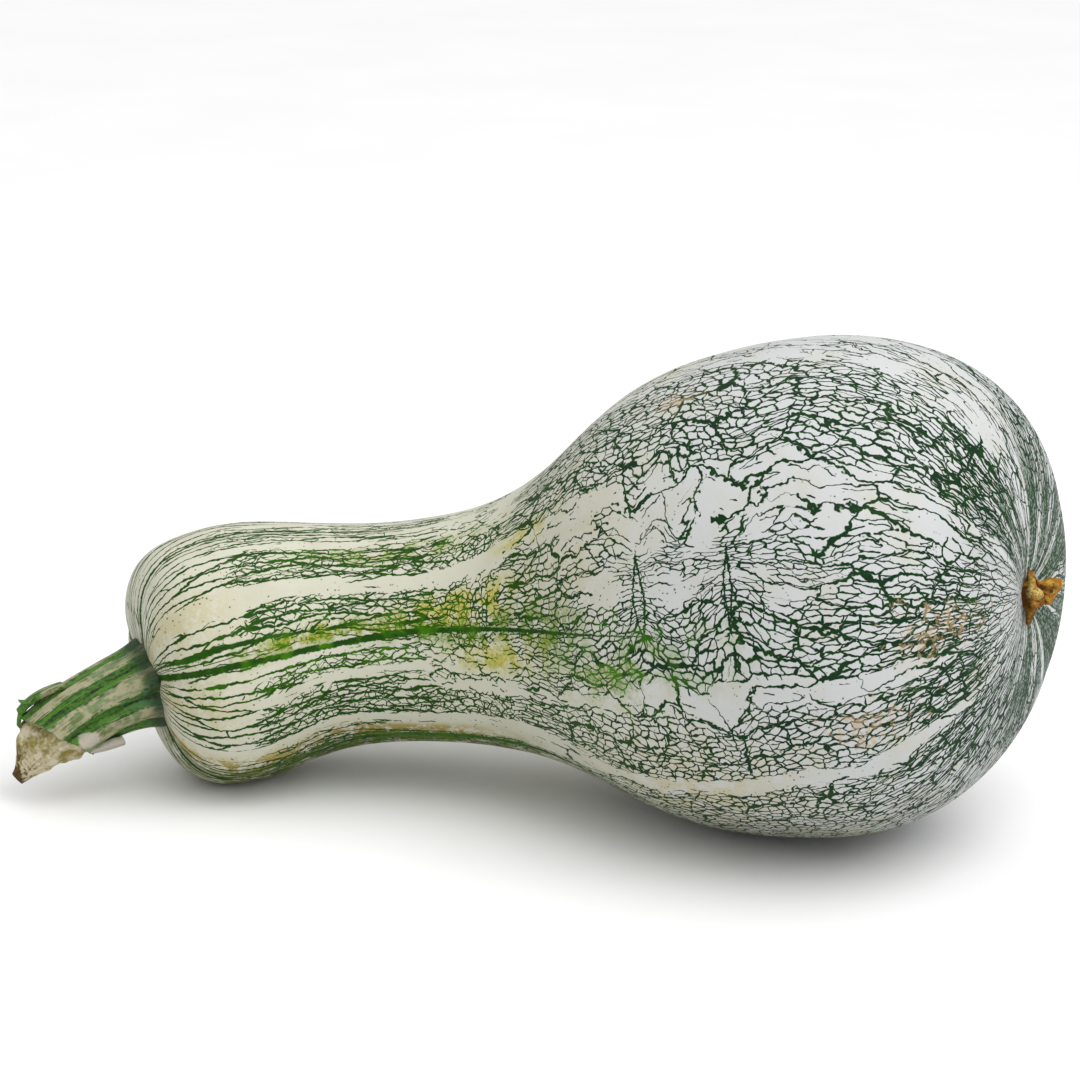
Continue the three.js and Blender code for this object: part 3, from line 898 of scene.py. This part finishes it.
class FruitGrid:
    """The skin in rows that are evenly spaced from the stem end to the blossom end."""

    def __init__(self):
        t = np.linspace(0, 1, LINE_SAMPLES)
        walked = np.concatenate([[0], np.cumsum(np.hypot(*np.diff(outline(t))))])
        self.walked = np.linspace(0, walked[-1], FRUIT_ROWS)[:, None]
        t = np.interp(self.walked, walked, t)
        distance, radius = outline(t[:, 0])
        slope = unit(np.gradient(stacked(distance, radius), t[:, 0], axis=0))
        self.distance, self.radius = distance[:, None], radius[:, None]
        self.angle = NET_SEAM + np.linspace(0, 360, FRUIT_SIDES + 1)[None, :]
        depth = skin_depth(t, self.distance, self.radius, self.angle)
        self.reached = self.distance + slope[:, 1:] * depth
        self.raised = self.radius - slope[:, :1] * depth

    def points(self, swelling=0.0):
        """The skin, cut off flat where it lies."""
        grid = fruit_line.place(self.reached, self.angle, self.raised + swelling)
        grid[..., 2] = np.maximum(grid[..., 2], 0)
        return grid

    def swollen(self):
        """The skin with its slow swellings, which leave it resting where it does."""
        plain = self.points()
        free = smoothstep(plain[..., 2], SWELLINGS_END, SWELLINGS_FULL)
        at_pole = np.minimum(1, self.radius / POLE_RADIUS)
        return self.points(rough(plain, SWELLINGS) * free * at_pole)

    def net_length(self):
        """Length of the net down to each row."""
        stretch = read_off(FLOW, self.distance[:, 0])
        steps = (stretch[1:] + stretch[:-1]) / 2 * np.diff(self.walked[:, 0])
        return np.concatenate([[0], np.cumsum(steps)])[:, None]


def fruit(grid, shift):
    skin = Skin()
    values = pattern(grid.distance, grid.angle, grid.radius, grid.net_length(), grid.points())
    skin.add_tube(grid.swollen(), values)
    return skin.build("rind", shift, rind())


# ---- Stem ----

stem_line = Spine(bezier(STEM_LINE, np.linspace(0, 1, LINE_SAMPLES)))
stem_angle = np.linspace(-180, 180, STEM_SIDES + 1)[None, :]


def round_points(angle, distance, radius=STEM_SEAT):
    """Points on a plain drum, for noise that meets itself round the back."""
    turn = np.radians(angle)
    return stacked(radius * np.cos(turn), radius * np.sin(turn), distance)


def ridged(angle):
    """How deep an angle lies in a groove, from 0 on a ridge to 1, and the height of the ridges there."""
    crests, heights = np.array(RIDGES + [(RIDGES[0][0] + 360, RIDGES[0][1])]).T
    turned = (angle - crests[0]) % 360 + crests[0]
    between = np.interp(turned, crests, np.arange(len(crests))) % 1
    groove = np.sin(np.pi * between) ** GROOVE_SHARPNESS
    return groove, np.interp(turned, crests, heights) * (1 - groove ** GROOVE_LOSS)


def rind_end():
    """Distance at which the stem's rind breaks off, at each angle."""
    slant = BREAK_SLANT * np.cos(np.radians(stem_angle - BREAK_SLANT_ANGLE))
    return stem_line.length + slant + rough(round_points(stem_angle, 0), BREAK_RAGGED)


def stem_rind(end):
    """Distance, radius and groove of the ridged rind, down to where it ends."""
    distance = STEM_START + (end - STEM_START) * np.linspace(0, 1, STEM_RIND_ROWS)[:, None]
    wander = rough(round_points(stem_angle, distance * WANDER_ALONG), RIDGE_WANDER)
    groove, ridge = ridged(stem_angle + wander)
    flare = STEM_FLARE * np.exp(-np.maximum(0, distance - STEM_SEAT) / STEM_FLARE_LENGTH)
    fibre = rough(round_points(stem_angle, distance * FIBRES_ALONG), FIBRES)
    curl = CURL_HEIGHT * np.exp((distance - end) / CURL_REACH)
    return distance, GROOVE_RADIUS + flare + ridge + fibre + curl, groove


def stem_core(end):
    """Distance, radius and drop of the core, from the broken rind to its hollow tip."""
    share, radius, drop = np.array(CORE_PROFILE).T
    along = np.linspace(0, 1, STEM_CORE_ROWS)[:, None]
    tip = stem_line.length + CORE_LENGTH
    distance = end - LIP + (tip - end + LIP) * along
    splinter = 1 + rough(round_points(stem_angle, distance * SPLINTERS_ALONG), CORE_ROUGHNESS)
    return distance, np.interp(along, share, radius) * GROOVE_RADIUS * splinter, np.interp(along, share, drop)


def add_shaft(skin):
    """The rind, then the core, between the two points that close the tube."""
    end = rind_end()
    distance, radius, groove = stem_rind(end)
    core_distance, core_radius, core_drop = stem_core(end)
    tip = stem_line.length + CORE_LENGTH - CORE_TIP_HOLLOW
    distance = np.vstack([np.full_like(end, STEM_START), distance, core_distance, np.full_like(end, tip)])
    radius = np.vstack([0 * end, radius, core_radius, 0 * end])
    groove = np.vstack([0 * end, groove, 0 * core_distance, 0 * end])
    rind_drop = 0 * groove[:STEM_RIND_ROWS + 1]
    drop = np.vstack([rind_drop, core_drop + 0 * core_distance, core_drop[-1] + 0 * end])
    core = (np.arange(len(distance)) > STEM_RIND_ROWS)[:, None] * 1.0
    past = np.clip((distance - stem_line.length) / CORE_LENGTH, 0, 1)
    off_patch = turn_from(PEELED_ANGLE, stem_angle) / PEELED_SPREAD
    peeled = np.exp(-((distance - end + PEELED_LENGTH) / PEELED_LENGTH) ** 2 - off_patch ** 2)
    skin.add_tube(stem_line.place(distance, stem_angle, radius, drop),
                  {"place": stacked(distance, stem_angle, groove), "part": stacked(core, peeled, past)})


def add_strip(skin, rows, thickness, tint, sections=26, sides=18):
    """A torn strip: a flat tube along its rows."""
    past, middle, height, width = open_spline(rows, np.linspace(0, 1, sections)).T[..., None]
    turn = np.linspace(0, 2 * np.pi, sides + 1)[None, :]
    flat_cos, flat_sin = (np.sign(f) * np.abs(f) ** STRIP_SQUARENESS for f in (np.cos(turn), np.sin(turn)))
    ends = np.ones((sections, 1))
    ends[[0, -1]] = 0
    ragged = 1 + rough(stacked(past, middle, turn * STRIP_NOISE_ROUND), STRIP_RAGGED)
    outwards = thickness / 2 * flat_sin * ends
    radius = GROOVE_RADIUS + height + outwards
    angle = middle + np.degrees(width / 2 * flat_cos * ends * ragged / GROOVE_RADIUS)
    distance = stem_line.length + past + 0 * angle
    not_core = not_past = 0 * angle
    values = {"place": stacked(distance, angle, STRIP_GREEN), "part": stacked(not_core, tint, not_past)}
    skin.add_tube(stem_line.place(distance, angle, radius), values)


def stem(shift):
    skin = Skin()
    add_shaft(skin)
    for rows, thickness, tint in STRIPS:
        add_strip(skin, rows, thickness, tint)
    return skin.build("stem_bark", shift, bark())


# ---- Blossom scar ----

def scar(shift):
    """The knob and its star, swept through its sections at every angle."""
    angle = np.linspace(-180, 180, SCAR_SIDES + 1)[None, :]
    sections = open_spline(SCAR_SECTIONS, np.linspace(0, 1, SCAR_ROWS))
    height, radius, reaching, lifting = sections.T[..., None]
    reach, lift = 0, 0
    for middle, out, up, spread in SCAR_POINTS:
        off = turn_from(middle, angle)
        reach = reach + out * np.exp(-np.abs(off / spread) ** 3)
        lift = lift + up * np.exp(-(off / spread / 2) ** 2)
    height = height + lifting * lift
    radius = np.maximum(radius + reaching * reach, 0)
    pitted = rough(round_points(angle, height, radius + 1), SCAR_ROUGHNESS)
    inside = np.minimum(1, radius / SCAR_POLE)
    blossom_end = FRUIT_LENGTH - BLOSSOM_DIP[0]
    raised = blossom_end + height + pitted * inside * SCAR_LIFT
    grid = fruit_line.place(raised, angle, radius + pitted * inside)
    # How dented each place is, which the cork darkens as painted shade.
    dent = DENT - pitted * DENT_LESS_ROUGH - DENT_LESS_STAR * reaching + 0 * angle
    skin = Skin()
    skin.add_tube(grid, {"place": stacked(height, angle, dent)})
    return skin.build("blossom_cork", shift, cork())


# ---- Studio ----

def add_object(name, data):
    made = bpy.data.objects.new(name, data)
    bpy.context.scene.collection.objects.link(made)
    return made


def towards(azimuth, elevation):
    """Direction seen from the object: azimuth 0 is the front, and grows to the right."""
    azimuth, elevation = math.radians(azimuth), math.radians(elevation)
    return Vector((math.sin(azimuth) * math.cos(elevation), -math.cos(azimuth) * math.cos(elevation),
                   math.sin(elevation)))


def aim(made, target, direction, distance):
    """Puts an object at a distance from a target, facing it."""
    made.location = target + direction * distance
    made.rotation_euler = direction.to_track_quat("Z", "Y").to_euler()


def sky():
    """A white sky, brightest overhead."""
    world = bpy.data.worlds.new("studio")
    world.use_nodes = True
    world.node_tree.nodes.clear()
    Canvas.tree = world.node_tree
    right, _, up = separated(node("ShaderNodeTexCoord", {}))
    strength = maths("MAXIMUM", up * SKY_OVERHEAD + right * SKY_RIGHT + SKY_LOW, 0.0)
    light = node("ShaderNodeBackground", {"Color": (1, 1, 1, 1), "Strength": strength})
    Canvas.tree.links.new(light.socket, Canvas.tree.nodes.new("ShaderNodeOutputWorld").inputs["Surface"])
    bpy.context.scene.world = world


def studio():
    """A white floor, a soft sky and one large soft light to the upper right."""
    paper = bpy.data.meshes.new("floor")
    s = FLOOR_HALF_SIZE
    paper.from_pydata([(-s, -s, 0), (s, -s, 0), (s, s, 0), (-s, s, 0)], [], [(0, 1, 2, 3)])
    paper.materials.append(studio_floor())
    add_object("floor", paper)

    sky()
    bpy.context.scene.view_settings.view_transform = "Standard"

    key = bpy.data.lights.new("key", "AREA")
    key.energy, key.size = KEY_WATTS, KEY_SIZE
    aim(add_object("key", key), Vector((0, 0, 0.1)), towards(KEY_AZIMUTH, KEY_ELEVATION), KEY_DISTANCE)


def camera(shift):
    data = bpy.data.cameras.new("camera")
    data.lens = CAMERA_LENS
    made = add_object("camera", data)
    target = (Vector(CAMERA_TARGET) + Vector(shift)) * MM
    aim(made, target, towards(CAMERA_AZIMUTH, CAMERA_ELEVATION), CAMERA_DISTANCE * MM)
    bpy.context.scene.camera = made


# ---- Assembly ----

def shift_of(points):
    """How far the CAD model was moved along the floor to stand over its origin, from where its fruit is."""
    low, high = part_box("fruit")
    shift = (np.array(low) + high) / 2 / MM - (points.min((0, 1)) + points.max((0, 1))) / 2
    shift[2] = 0
    return shift


def stand_in(piece, cad_node):
    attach(piece, "root")
    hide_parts(cad_node)


fruit_grid = FruitGrid()
shift = shift_of(fruit_grid.points())
stand_in(fruit(fruit_grid, shift), "fruit")
stand_in(stem(shift), "stem")
stand_in(scar(shift), "blossom_scar")
studio()
camera(shift)
